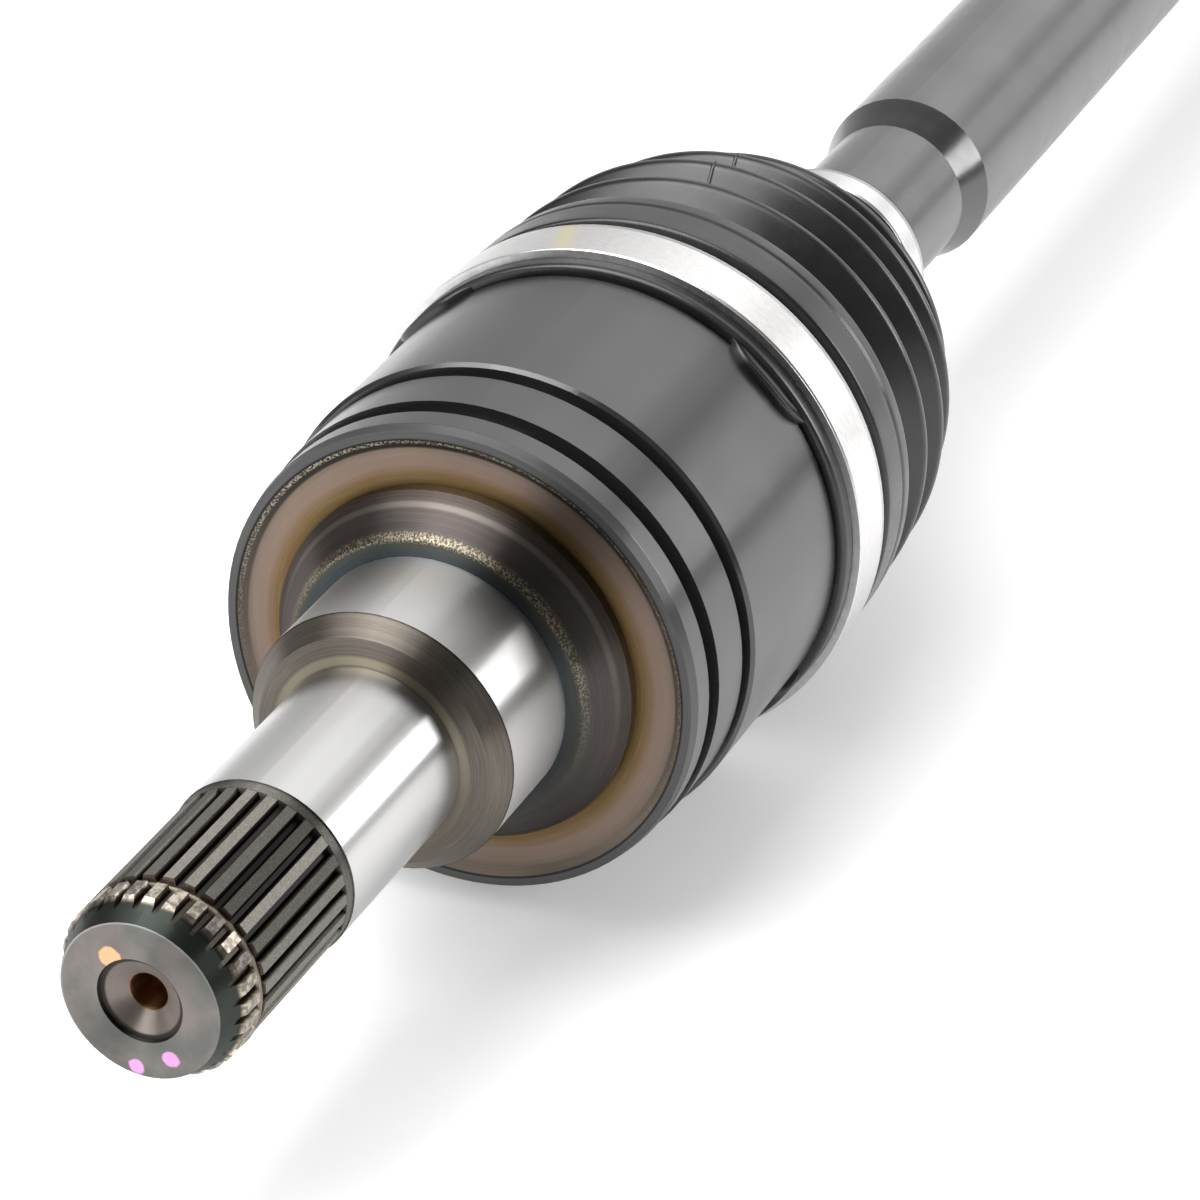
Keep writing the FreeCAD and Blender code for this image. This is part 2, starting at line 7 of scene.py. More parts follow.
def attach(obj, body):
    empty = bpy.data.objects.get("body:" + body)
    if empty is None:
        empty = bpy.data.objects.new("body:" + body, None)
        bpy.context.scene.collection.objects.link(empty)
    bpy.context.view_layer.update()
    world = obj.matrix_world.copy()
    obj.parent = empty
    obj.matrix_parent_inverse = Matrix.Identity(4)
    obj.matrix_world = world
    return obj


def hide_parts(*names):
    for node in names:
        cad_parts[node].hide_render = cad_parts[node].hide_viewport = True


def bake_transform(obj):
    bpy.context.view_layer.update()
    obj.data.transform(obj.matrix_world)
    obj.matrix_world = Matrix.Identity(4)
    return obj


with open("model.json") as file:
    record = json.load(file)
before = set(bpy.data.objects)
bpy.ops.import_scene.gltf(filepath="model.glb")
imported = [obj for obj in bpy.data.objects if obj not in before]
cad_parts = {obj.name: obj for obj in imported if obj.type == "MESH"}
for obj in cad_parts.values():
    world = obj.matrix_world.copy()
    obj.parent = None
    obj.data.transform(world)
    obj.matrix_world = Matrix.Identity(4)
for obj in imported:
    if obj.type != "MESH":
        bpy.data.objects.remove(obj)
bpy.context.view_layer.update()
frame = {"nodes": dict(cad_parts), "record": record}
scene = bpy.context.scene

# A bench length s runs along +X from the inboard end face, in millimetres. The row frame starts at the
# large journal. Angles are in degrees about the axis, from +Y towards +Z.
MM = 0.001
JOURNAL_S = 88.55


def spot(s, r, degrees):
    """Row-frame point in metres from a bench length, a radius and an angle."""
    angle = math.radians(degrees)
    return Vector(((s - JOURNAL_S) * MM, r * MM * math.cos(angle), r * MM * math.sin(angle)))


def mesh_piece(name, points, faces, material, body=None, smooth=True):
    """Mesh object in the row frame, which rides on a CAD body if one is named."""
    mesh = bpy.data.meshes.new(name)
    mesh.from_pydata(points, [], faces)
    mesh.validate()
    mesh.polygons.foreach_set("use_smooth", [smooth] * len(mesh.polygons))
    mesh.materials.append(material)
    piece = bpy.data.objects.new(name, mesh)
    scene.collection.objects.link(piece)
    if body:
        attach(piece, body)
    return piece


def lathe(name, outline, material, angles, shape):
    """Closed outline of (s, r) points turned through the angles; shape may move each (s, r) by its angle."""
    count, turns = len(outline), len(angles)
    points = [spot(*shape(s, r, degrees), degrees) for degrees in angles for s, r in outline]
    faces = []
    for turn in range(turns):
        here = turn * count
        there = (turn + 1) % turns * count
        for index in range(count):
            after = (index + 1) % count
            faces.append((here + index, here + after, there + after, there + index))
    return mesh_piece(name, points, faces, material)


FILLET_STEPS = 5
SMALLEST_FILLET = 0.02


def rounded(corners):
    """Closed line through (s, r, fillet) corners, with a curve in place of each corner that has a fillet."""
    line = []
    count = len(corners)
    for index, (s, r, fillet) in enumerate(corners):
        here = Vector((s, r))
        before = Vector(corners[index - 1][:2]) - here
        after = Vector(corners[(index + 1) % count][:2]) - here
        reach = min(fillet, before.length * 0.49, after.length * 0.49)
        if reach < SMALLEST_FILLET:
            line.append((s, r))
            continue
        first = here + before.normalized() * reach
        last = here + after.normalized() * reach
        for step in range(FILLET_STEPS + 1):
            t = step / FILLET_STEPS
            point = first * (1 - t) ** 2 + here * 2 * t * (1 - t) + last * t ** 2
            line.append((point.x, point.y))
    return line


def set_ramp(ramp, stops):
    """Give a colour ramp its (position, colour) stops."""
    while len(ramp.elements) < len(stops):
        ramp.elements.new(0.5)
    for element, (position, colour) in zip(ramp.elements, stops):
        element.position = position
        element.color = (*colour, 1)


# How far turning marks waver with the height, and the least radius that facing divides by
LATHE_WAVER = 0.02
AXIS_R = 0.1


class Finish:
    """Material with one Principled shader; the methods add nodes and return their outputs."""

    def __init__(self, name, **sockets):
        self.material = bpy.data.materials.new(name)
        self.material.use_nodes = True
        self.tree = self.material.node_tree
        self.shader = self.tree.nodes["Principled BSDF"]
        for socket, value in sockets.items():
            self.shader.inputs[socket.replace("_", " ")].default_value = value
        scaled = self.node("ShaderNodeVectorMath", operation="SCALE")
        self.tree.links.new(self.node("ShaderNodeTexCoord").outputs["Object"], scaled.inputs[0])
        scaled.inputs["Scale"].default_value = 1 / MM
        self.place = scaled.outputs["Vector"]
        parts = self.node("ShaderNodeSeparateXYZ")
        self.tree.links.new(self.place, parts.inputs[0])
        self.s = self.plus(parts.outputs["X"], JOURNAL_S)
        self.y = parts.outputs["Y"]
        self.z = parts.outputs["Z"]
        self.r = self.distance(self.y, self.z)
        self.angle = self.math("ARCTAN2", self.z, self.y)

    def node(self, kind, **settings):
        made = self.tree.nodes.new(kind)
        for key, value in settings.items():
            setattr(made, key, value)
        return made

    def feed(self, socket, value):
        if isinstance(value, bpy.types.NodeSocket):
            self.tree.links.new(value, socket)
        elif isinstance(value, (tuple, list)) and len(value) == 3 and len(socket.default_value) == 4:
            socket.default_value = (*value, 1)
        else:
            socket.default_value = value

    def math(self, operation, first, second=0.0):
        made = self.node("ShaderNodeMath", operation=operation)
        self.feed(made.inputs[0], first)
        self.feed(made.inputs[1], second)
        return made.outputs[0]

    def plus(self, *values):
        total = values[0]
        for value in values[1:]:
            total = self.math("ADD", total, value)
        return total

    def minus(self, first, second):
        return self.math("SUBTRACT", first, second)

    def times(self, *values):
        product = values[0]
        for value in values[1:]:
            product = self.math("MULTIPLY", product, value)
        return product

    def distance(self, across, up):
        return self.math("SQRT", self.plus(self.times(across, across), self.times(up, up)))

    def fade(self, value, low, high, start=0.0, end=1.0):
        """Smooth change from start to end as value goes from low to high."""
        made = self.node("ShaderNodeMapRange", interpolation_type="SMOOTHSTEP")
        for index, number in enumerate((value, low, high, start, end)):
            self.feed(made.inputs[index], number)
        return made.outputs[0]

    def fall(self, value, low, high):
        return self.fade(value, low, high, 1.0, 0.0)

    def within(self, value, low, high, soft=0.1):
        """1 between low and high, with soft edges."""
        rise = self.fade(value, low - soft / 2, low + soft / 2)
        return self.times(rise, self.fall(value, high - soft / 2, high + soft / 2))

    def mix(self, share, first, second):
        """Colour between first and second."""
        made = self.node("ShaderNodeMix", data_type="RGBA", clamp_factor=True)
        self.feed(made.inputs[0], share)
        self.feed(made.inputs[6], first)
        self.feed(made.inputs[7], second)
        return made.outputs[2]

    def blend(self, share, first, second):
        """Number between first and second."""
        made = self.node("ShaderNodeMix", data_type="FLOAT", clamp_factor=True)
        self.feed(made.inputs[0], share)
        self.feed(made.inputs[2], first)
        self.feed(made.inputs[3], second)
        return made.outputs[0]

    def noise(self, scale, detail=3.0, roughness=0.55, where=None):
        made = self.node("ShaderNodeTexNoise")
        self.feed(made.inputs["Vector"], where or self.place)
        made.inputs["Scale"].default_value = scale
        made.inputs["Detail"].default_value = detail
        made.inputs["Roughness"].default_value = roughness
        return made.outputs["Fac"]

    def combined(self, x, y, z):
        made = self.node("ShaderNodeCombineXYZ")
        for index, value in enumerate((x, y, z)):
            self.feed(made.inputs[index], value)
        return made.outputs[0]

    def lathe_marks(self, scale):
        """Fine rings about the axis that waver a little, as a turning tool leaves them."""
        where = self.combined(self.s, self.r, self.times(self.z, LATHE_WAVER))
        return self.noise(scale, 4.0, 0.7, where)

    def turned(self):
        """Brushed round the axis, so reflections spread along it."""
        tangent = self.node("ShaderNodeTangent", direction_type="RADIAL", axis="X")
        self.tree.links.new(tangent.outputs[0], self.shader.inputs["Tangent"])

    def facing(self, degrees, power):
        """1 on the side of the shaft at this angle, falling to 0 on the other side."""
        angle = math.radians(degrees)
        along = self.plus(self.times(self.y, math.cos(angle)), self.times(self.z, math.sin(angle)))
        share = self.math("DIVIDE", along, self.math("MAXIMUM", self.r, AXIS_R))
        return self.math("POWER", self.fade(share, -1.0, 1.0), power)

    def ramp(self, value, *stops):
        made = self.node("ShaderNodeValToRGB")
        self.feed(made.inputs[0], value)
        set_ramp(made.color_ramp, stops)
        return made.outputs[0]

    def bump(self, height, distance):
        """Relief of the height times this distance in millimetres."""
        made = self.node("ShaderNodeBump")
        self.feed(made.inputs["Height"], height)
        made.inputs["Distance"].default_value = distance * MM
        made.inputs["Strength"].default_value = 1.0
        self.tree.links.new(made.outputs[0], self.shader.inputs["Normal"])

    def give(self, **inputs):
        for name, value in inputs.items():
            self.feed(self.shader.inputs[name.replace("_", " ")], value)
        return self.material


# Colours, linear. A pair holds the dark and the light tone of one surface.
BLACK_PAINT = (0.017, 0.017, 0.0175)
BAR_PAINT = (0.04, 0.04, 0.042)
RUBBER = (0.0075, 0.0075, 0.0075)
DUSTY_RUBBER = (0.013, 0.0135, 0.0125)
GROUND_JOURNAL = (0.54, 0.535, 0.53)
TURNED = (0.115, 0.10, 0.085), (0.165, 0.147, 0.125)
# Pale gold temper ring on the shoulder, painted stronger on the upper side as a highlight
PALE_GOLD_AND_HIGHLIGHT = (0.25, 0.225, 0.165)
SHOULDER_EDGE = (0.05, 0.045, 0.04)
END_FACE = (0.145, 0.15, 0.138), (0.225, 0.2, 0.19)
# Painted highlight on the edge ring of the end face
END_FACE_EDGE_HIGHLIGHT = (0.34, 0.34, 0.33)
CHAMFER = (0.028, 0.034, 0.03), (0.06, 0.066, 0.058)
DRILL_CONE = (0.17, 0.145, 0.13), (0.24, 0.21, 0.19)
DRILL_EDGE = (0.05, 0.045, 0.04)
DRILL_BOTTOM = (0.26, 0.13, 0.055)
FRONT_GROOVE = (0.05, 0.042, 0.034)
FRONT_TIP = (0.19, 0.17, 0.14), (0.46, 0.41, 0.34)
MAIN_GROOVE = (0.028, 0.026, 0.024)
MAIN_TIP = (0.14, 0.13, 0.115), (0.24, 0.225, 0.2)
HUB_SPLINE_GROOVE = (0.03, 0.028, 0.026)
HUB_SPLINE_TIP = (0.16, 0.15, 0.135), (0.25, 0.235, 0.21)
THREAD_GROOVE = (0.05, 0.046, 0.04)
THREAD_TIP = (0.24, 0.23, 0.215)
RUST = (0.05, 0.03, 0.016), (0.17, 0.10, 0.05)
COLLAR = (0.10, 0.095, 0.085), (0.19, 0.18, 0.165)
HUB_TEMPER = ((0.0, (0.045, 0.058, 0.066)), (0.14, (0.06, 0.068, 0.06)), (0.3, (0.068, 0.064, 0.052)),
              (0.5, (0.066, 0.057, 0.054)), (0.8, (0.072, 0.061, 0.057)), (1.0, (0.055, 0.044, 0.037)))
HUB_MARKS = (0.125, 0.114, 0.1)
# Speckled ring on the hub, drawn only on the upper side, so partly a painted highlight
HUB_SPECKLE_AND_HIGHLIGHT = (0.36, 0.31, 0.22)
# Painted highlight on the hub's ridge, upper side only
HUB_RIDGE_HIGHLIGHT = (0.15, 0.135, 0.12)
# Painted shade on the hub's underside
HUB_UNDERSIDE_SHADE = (0.045, 0.042, 0.04)
RING_TEMPER = ((0.0, (0.13, 0.085, 0.03)), (0.22, (0.175, 0.115, 0.06)), (0.45, (0.215, 0.155, 0.12)),
               (0.8, (0.205, 0.155, 0.125)), (1.0, (0.145, 0.118, 0.095)))
RING_MARKS = (0.3, 0.25, 0.215)
# Painted shade on the upper side of the disc's rim
RIM_TOP_SHADE = (0.045, 0.042, 0.036)
# Speckled line on the rim, drawn only on the upper side, so partly a painted highlight
RIM_SPECKLE_AND_HIGHLIGHT = (0.62, 0.57, 0.45)
RIM_EDGE = (0.03, 0.03, 0.028)
BEVEL = (0.012, 0.012, 0.012), (0.035, 0.035, 0.034)
ORANGE_DAB = (0.95, 0.47, 0.22)
PINK_DAB = (0.74, 0.34, 0.70)
CLAMP = (0.61, 0.60, 0.595), (0.71, 0.70, 0.695)
YELLOW_MARK = (0.86, 0.75, 0.33)
GROUND_STEEL = (0.5, 0.5, 0.5), (0.62, 0.62, 0.62)
SPRING_STEEL = (0.12, 0.1, 0.08), (0.3, 0.26, 0.2)
STUDIO_FLOOR = (0.9, 0.9, 0.905), (0.92, 0.92, 0.92)

# Low and high noise values between which a surface goes from one tone or roughness to the other
EVEN = (0.3, 0.7)
GRAINED = (0.35, 0.7)

# Bench lengths at which the surfaces of the housing begin, and then those of the outboard bell's stub
CHAMFER_S = 0.05
FRONT_TEETH_S = 3.45
CLIP_GROOVE_S = 8.4
MAIN_TEETH_S = 10.1
COLLAR_S = 36.2
SMALL_JOURNAL_S = 38.25
SHOULDER_S = 74.56
LARGE_JOURNAL_S = 78.95
HUB_S = 98.15
DISC_S = 104.0
LAND_S = 108.0
BARREL_INSIDE_S = (127.0, 128.0)
HUB_SEAT_S = 687.4
HUB_SPLINE_S = 695.4
THREAD_S = 735.4
STUB_END_S = 760.85
# Half the length over which one of them fades into the next
ZONE_EDGE = 0.04

# Radii in millimetres between which a surface lies, or fades into the next one
DRILL_BOTTOM_R = (3.1, 3.3)
DRILL_EDGE_R = (5.9, 6.3)
DRILL_R = (7.0, 7.1)
END_FACE_EDGE_R = (12.75, 13.1)
SPLINE_R = (14.35, 14.9)
HUB_SPLINE_R = (13.2, 13.8)
THREAD_R = (11.0, 11.9)
SHOULDER_GOLD_R = (15.6, 17.0)
SHOULDER_EDGE_R = (22.45, 22.65)
HUB_R = (22.5, 31.5)
HUB_SPECKLE_R = (25.2, 26.4)
HUB_RIDGE_R = (29.2, 29.9)
RING_R = (31.5, 39.5)
DISC_R = (31.1, 31.3)
RIM_R = (37.5, 37.8)
RIM_SPECKLE_R = (38.6, 39.3)
RIM_EDGE_R = (39.2, 39.4)
PAINT_R = (39.5, 39.8)
LAND_R = (38.5, 38.7)
BARREL_INSIDE_R = (41.25, 41.3)

# Dabs of paint on the end face: y, z and radius in millimetres, and the colour
DABS = ((4.5, 6.4, 1.75, ORANGE_DAB), (1.2, -11.6, 1.25, PINK_DAB), (-4.65, -8.9, 1.35, PINK_DAB))


def teeth(f, radii, groove, tip):
    """Dark grooves and lighter tooth tips, told apart by the radius."""
    return f.mix(f.fade(f.r, *radii), groove, tip)


def shoulder_colour(f, fine, painted_light_top):
    # Pale gold temper ring with a painted highlight: five times as strong on the upper side as on the lower
    gold_and_highlight = f.times(f.within(f.r, *SHOULDER_GOLD_R, 0.6), f.blend(painted_light_top, 0.2, 1.0))
    colour = f.mix(gold_and_highlight, f.mix(f.fade(fine, *GRAINED), *TURNED), PALE_GOLD_AND_HIGHLIGHT)
    return f.mix(f.fade(f.r, *SHOULDER_EDGE_R), colour, SHOULDER_EDGE)


def hub_colour(f, fine, cloud, speckle, painted_light_top):
    """Turned hub with its temper colours, from blue at the journal to brown at the edge, a speckled ring and
    a light ridge painted as highlights on its upper side, and painted shade on its underside.
    """
    temper = f.plus(f.r, f.times(f.minus(cloud, 0.5), 2.5))
    colour = f.ramp(f.fade(temper, *HUB_R), *HUB_TEMPER)
    colour = f.mix(f.times(f.fade(fine, 0.4, 0.75), 0.4), colour, HUB_MARKS)
    # Speckled ring, drawn only on the upper side as a painted highlight
    colour = f.mix(f.times(f.within(f.r, *HUB_SPECKLE_R, 0.7), speckle, painted_light_top), colour, HUB_SPECKLE_AND_HIGHLIGHT)
    # Painted highlight: a light ring on the ridge, on the upper side only
    colour = f.mix(f.times(f.within(f.r, *HUB_RIDGE_R, 0.4), painted_light_top), colour, HUB_RIDGE_HIGHLIGHT)
    # Painted shade: the hub darkens towards its underside
    return f.mix(f.times(f.facing(250, 1.5), 0.55), colour, HUB_UNDERSIDE_SHADE)


def ring_colour(f, fine, cloud):
    """Heat-coloured face of the disc round the hub."""
    colour = f.ramp(f.fade(f.plus(f.r, cloud), *RING_R), *RING_TEMPER)
    return f.mix(f.times(f.fade(fine, 0.45, 0.75), 0.25), colour, RING_MARKS)


def rim_colour(f, ring, speckle, painted_light_top):
    # Painted shade: the rim is dark on its upper side and keeps the ring colour below
    colour = f.mix(f.facing(80, 3.0), ring, RIM_TOP_SHADE)
    # Speckled line, drawn only on the upper side as a painted highlight
    colour = f.mix(f.times(f.within(f.r, *RIM_SPECKLE_R, 0.3), speckle, painted_light_top), colour, RIM_SPECKLE_AND_HIGHLIGHT)
    return f.mix(f.fade(f.r, *RIM_EDGE_R), colour, RIM_EDGE)


def drill_colour(f, fine):
    """Lathe centre in the end face."""
    colour = f.mix(f.fade(f.r, *DRILL_EDGE_R), f.mix(fine, *DRILL_CONE), DRILL_EDGE)
    return f.mix(f.fall(f.r, *DRILL_BOTTOM_R), colour, DRILL_BOTTOM)


def housing_finish():
    """Turned stub with its heat colours, ground journals and gloss black barrel."""
    f = Finish("housing_finish", IOR=1.75, Anisotropic=0.94, Anisotropic_Rotation=0.25)
    f.turned()
    fine = f.lathe_marks(6.0)
    cloud = f.noise(0.12, 4.0)
    grit = f.fade(f.noise(3.2, 4.0, 0.7), *GRAINED)
    worn = f.fade(f.noise(0.9, 3.0, 0.6), 0.42, 0.62)
    speckle = f.fade(f.noise(2.6, 3.0, 0.6), 0.45, 0.6)
    rusty = f.fade(f.noise(1.3, 5.0, 0.7), 0.4, 0.6)
    # Mask for the upper side of the shaft, where highlights are painted on the shoulder, hub and rim
    painted_light_top = f.facing(100, 2.0)
    face = f.mix(f.fade(cloud, 0.35, 0.65), *END_FACE)
    # Painted highlight: the edge ring of the end face is lighter on its upper side
    face = f.mix(f.times(f.within(f.r, *END_FACE_EDGE_R, 0.15), f.facing(60, 1.5)), face, END_FACE_EDGE_HIGHLIGHT)

    # Bench length at which each surface begins, with its colour, metal and roughness
    zones = (
        (CHAMFER_S, f.mix(cloud, *CHAMFER), 1.0, 0.42),
        (FRONT_TEETH_S, teeth(f, SPLINE_R, FRONT_GROOVE, f.mix(worn, *FRONT_TIP)), 1.0, 0.3),
        (CLIP_GROOVE_S, f.mix(rusty, *RUST), 0.7, 0.55),
        (MAIN_TEETH_S, teeth(f, SPLINE_R, MAIN_GROOVE, f.mix(grit, *MAIN_TIP)), 1.0, 0.4),
        (COLLAR_S, f.mix(grit, *COLLAR), 1.0, 0.45),
        (SMALL_JOURNAL_S, GROUND_JOURNAL, 1.0, 0.2),
        (SHOULDER_S, shoulder_colour(f, fine, painted_light_top), 1.0, 0.4),
        (LARGE_JOURNAL_S, GROUND_JOURNAL, 1.0, 0.3),
        (HUB_S, hub_colour(f, fine, cloud, speckle, painted_light_top), 1.0, 0.38),
        (HUB_SEAT_S, GROUND_JOURNAL, 1.0, 0.25),
        (HUB_SPLINE_S, teeth(f, HUB_SPLINE_R, HUB_SPLINE_GROOVE, f.mix(grit, *HUB_SPLINE_TIP)), 1.0, 0.4),
        (THREAD_S, teeth(f, THREAD_R, THREAD_GROOVE, THREAD_TIP), 1.0, 0.35),
        (STUB_END_S, face, 1.0, 0.42),
    )
    colour, metal, rough = face, 1.0, 0.42
    for start, zone_colour, zone_metal, zone_rough in zones:
        share = f.fade(f.s, start - ZONE_EDGE, start + ZONE_EDGE)
        colour = f.mix(share, colour, zone_colour)
        metal = f.blend(share, metal, zone_metal)
        rough = f.blend(share, rough, zone_rough)
    drilled = f.times(f.fall(f.r, *DRILL_R), f.within(f.s, 0.02, 20, 0.04))
    colour = f.mix(drilled, colour, drill_colour(f, fine))

    behind = f.fade(f.s, DISC_S - 0.2, DISC_S + 0.2)
    disc = f.times(behind, f.fade(f.r, *DISC_R))
    ring = ring_colour(f, fine, cloud)
    colour = f.mix(disc, colour, ring)
    rough = f.blend(disc, rough, 0.36)
    colour = f.mix(f.times(behind, f.fade(f.r, *RIM_R)), colour, rim_colour(f, ring, speckle, painted_light_top))

    outer = f.fade(f.r, *PAINT_R)
    land = f.times(f.fade(f.s, LAND_S, LAND_S + 0.2), f.fade(f.r, *LAND_R))
    inside = f.times(f.fade(f.s, LAND_S - 0.1, LAND_S + 0.1), f.fall(f.r, *BARREL_INSIDE_R),
                     f.fade(f.s, *BARREL_INSIDE_S))
    paint = f.times(f.math("MAXIMUM", f.times(behind, outer), land), f.minus(1.0, inside))
    colour = f.mix(paint, colour, BLACK_PAINT)
    metal = f.blend(paint, metal, 0.0)
    rough = f.blend(paint, rough, f.fade(f.noise(0.05, 2.0), *EVEN, 0.15, 0.2))
    bevel = f.times(outer, f.within(f.s, DISC_S - 0.1, LAND_S - 0.3))
    colour = f.mix(bevel, colour, f.mix(f.fade(fine, *GRAINED), *BEVEL))
    rough = f.blend(bevel, rough, 0.4)

    for y, z, radius, dab in DABS:
        away = f.distance(f.minus(f.y, y), f.minus(f.z, z))
        away = f.plus(away, f.times(f.minus(f.noise(0.5, 2.0), 0.5), 0.9))
        dot = f.times(f.fall(away, radius - 0.2, radius + 0.2), f.fall(f.s, 0.1, 0.2))
        colour = f.mix(dot, colour, dab)
        metal = f.blend(dot, metal, 0.0)
        rough = f.blend(dot, rough, 0.5)
    f.bump(f.blend(paint, fine, f.noise(0.7, 2.0)), 0.01)
    return f.give(Base_Color=colour, Metallic=metal, Roughness=rough)


BAR_SHOULDER_S = (300.8, 308.5)


def bar_finish():
    """Gloss black paint, darker on the tapered shoulder."""
    f = Finish("bar_finish", IOR=1.85)
    f.bump(f.noise(0.6), 0.012)
    colour = f.mix(f.fade(f.noise(0.08), *EVEN), BAR_PAINT, tuple(tone * 1.4 for tone in BAR_PAINT))
    colour = f.mix(f.within(f.s, *BAR_SHOULDER_S, 0.2), colour, RUBBER)
    return f.give(Base_Color=colour, Roughness=f.fade(f.noise(0.2, 4.0), *EVEN, 0.18, 0.18 * 1.3))


def steel_finish(name, tones, rough):
    """Bare steel with fine turning marks."""
    f = Finish(name)
    marks = f.lathe_marks(2.5)
    f.bump(marks, 0.01)
    return f.give(Base_Color=f.mix(f.fade(marks, *EVEN), *tones), Metallic=1.0,
                  Roughness=f.fade(f.noise(0.5), *EVEN, rough, rough * 1.6))


def rubber_finish():
    f = Finish("rubber_finish", IOR=1.62)
    f.bump(f.noise(2.2, 4.0, 0.6), 0.012)
    colour = f.mix(f.fade(f.noise(0.09, 5.0, 0.65), 0.45, 0.75), RUBBER, DUSTY_RUBBER)
    return f.give(Base_Color=colour, Roughness=f.fade(f.noise(0.15), *EVEN, 0.26, 0.34))


# First and last bench length of each clamp's band, and the width of its rounded edge
CLAMPS = ((166.0, 177.0), (262.35, 268.35), (636.4, 647.4), (546.1, 552.1))
CLAMP_EDGE = 0.9
# The yellow mark on the first clamp: its angle in radians and how much it leans by the millimetre
MARK_ANGLE = (1.31, 1.38)
MARK_LEAN = 0.007


def clamp_finish():
    """Bright band steel with fine lines round it and rounded edges."""
    f = Finish("clamp_finish")
    lines = f.noise(0.7, 3.0, 0.6, f.combined(f.times(f.s, 5.0), f.y, f.z))
    start, end = CLAMPS[0]
    slant = f.plus(f.angle, f.times(f.minus(f.s, (start + end) / 2), MARK_LEAN))
    mark = f.times(f.within(f.s, start + 0.5, end, 1.0), f.within(slant, *MARK_ANGLE, 0.07))
    colour = f.mix(f.times(mark, 0.5), f.mix(f.fade(lines, *EVEN), *CLAMP), YELLOW_MARK)
    height = f.times(lines, 0.03)
    for start, end in CLAMPS:
        height = f.plus(height, f.within(f.s, start + CLAMP_EDGE / 2, end - CLAMP_EDGE / 2, CLAMP_EDGE))
    f.bump(height, 0.6)
    return f.give(Base_Color=colour, Metallic=1.0, Roughness=f.blend(lines, 0.26, 0.34))


rubber = rubber_finish()
SLOT_FINISH = {
    "black_housing": housing_finish(),
    "black_bar": bar_finish(),
    "ground_steel": steel_finish("ground_finish", GROUND_STEEL, 0.18),
    "spring_steel": steel_finish("spring_finish", SPRING_STEEL, 0.35),
    "boot_rubber": rubber,
    "clamp_steel": clamp_finish(),
}
for subpart in frame["record"]["subparts"]:
    for material_slot in frame["nodes"][subpart["node"]].material_slots:
        material_slot.material = SLOT_FINISH[subpart["material_slot"]]

# Bellows: each boot has two halves that meet in a valley, the seam, because a blend joins two bodies.
# Outlines run from the collar's front edge to the small end and back inside. A corner is (s, r, fillet).
TURNS = 224
WAVE_DEPTH = 5.6
WALL = 2.2
CREST_HALF = 0.8
VALLEY_FILLET = 1.6
CREST_FILLET = 1.3
RUN_STEP = 1.2

# The mould's parting line: its angles, half its width in degrees, its height and where it shows
PARTING_ANGLES = (90, 270)
PARTING_HALF = 0.35
PARTING_HEIGHT = 0.35
PARTING_S = (206.9, 228.0)


def waves(crests, pitch):
    """Corners of a valley and a flat-topped crest for each (s, r) of the crests."""
    corners = []
    flat = math.copysign(CREST_HALF, pitch)
    for s, r in crests:
        corners += [(s - pitch / 2, r - WAVE_DEPTH, VALLEY_FILLET),
                    (s - flat, r, CREST_FILLET), (s + flat, r, CREST_FILLET)]
    return corners


def inner_side(corners):
    """The same corners a wall's thickness further in, in reverse order."""
    return [(s, r - WALL, fillet) for s, r, fillet in corners[::-1]]


def lengthened(line):
    """Straight runs of two steps or more get points in between, so that a bend spreads over them."""
    out = []
    for index, here in enumerate(line):
        there = line[(index + 1) % len(line)]
        parts = max(1, int(math.dist(here, there) / RUN_STEP))
        for part in range(parts):
            t = part / parts
            out.append((here[0] + (there[0] - here[0]) * t, here[1] + (there[1] - here[1]) * t))
    return out


def parting(s, r, degrees):
    """Raise the ridge of the parting line."""
    nearest = min(abs(degrees - angle) for angle in PARTING_ANGLES)
    if PARTING_S[0] < s < PARTING_S[1] and nearest < PARTING_HALF:
        r += PARTING_HEIGHT * (1 - nearest / PARTING_HALF)
    return s, r


def bellows(name, boot, corners):
    """Half of a boot, turned from its corners and fixed in the row frame in place of the CAD boot."""
    angles = [360 * turn / TURNS for turn in range(TURNS)]
    for middle in PARTING_ANGLES:
        angles = [angle for angle in angles if abs(angle - middle) > 2 * PARTING_HALF]
        angles += [middle + PARTING_HALF * share for share in (-2, -1, 0, 1, 2)]
    piece = lathe(name, lengthened(rounded(corners)), rubber, sorted(angles), parting)
    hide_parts(boot)
    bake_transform(piece)


# Inboard boot: its second valley, which is the fourth corner of the waves, is the seam
SEAM_IN = 206.75
waves_in = waves([(201.6, 44.41), (211.9, 43.51), (222.2, 40.8), (232.5, 36.3), (242.8, 30.0)], 10.3)
front_in, rear_in = waves_in[:3], waves_in[4:]
collar_in = [(163.0, 44.63, 1.0), (177.3, 44.63, 0.2), (177.6, 43.4, 0.2), (180.3, 43.4, 0.2),
             (180.9, 45.41, 0.6), (187.0, 45.41, 0.3), (187.7, 45.05, 0.4), (188.5, 45.35, 0.4),
             (191.3, 45.2, 0.8)]
under_in = [(191.3, 43.2, 0.8), (181.5, 41.34, 0.8), (163.0, 41.34, 0.3)]
tail_in = [(247.95, 22.2, 2.0), (259.55, 17.32, 1.0), (271.55, 17.32, 0.8)]
tail_under_in = [(271.55, 14.33, 0.2), (259.55, 14.33, 1.0), (247.95, 20.0, 1.5)]
seam_in = [(SEAM_IN, 37.9, 0), (SEAM_IN, 35.7, 0)]
bellows("inboard_bellows_front", "inboard_boot",
        collar_in + front_in + seam_in + inner_side(front_in) + under_in)
bellows("inboard_bellows_rear", "inboard_boot",
        seam_in[:1] + rear_in + tail_in + tail_under_in + inner_side(rear_in) + seam_in[1:])

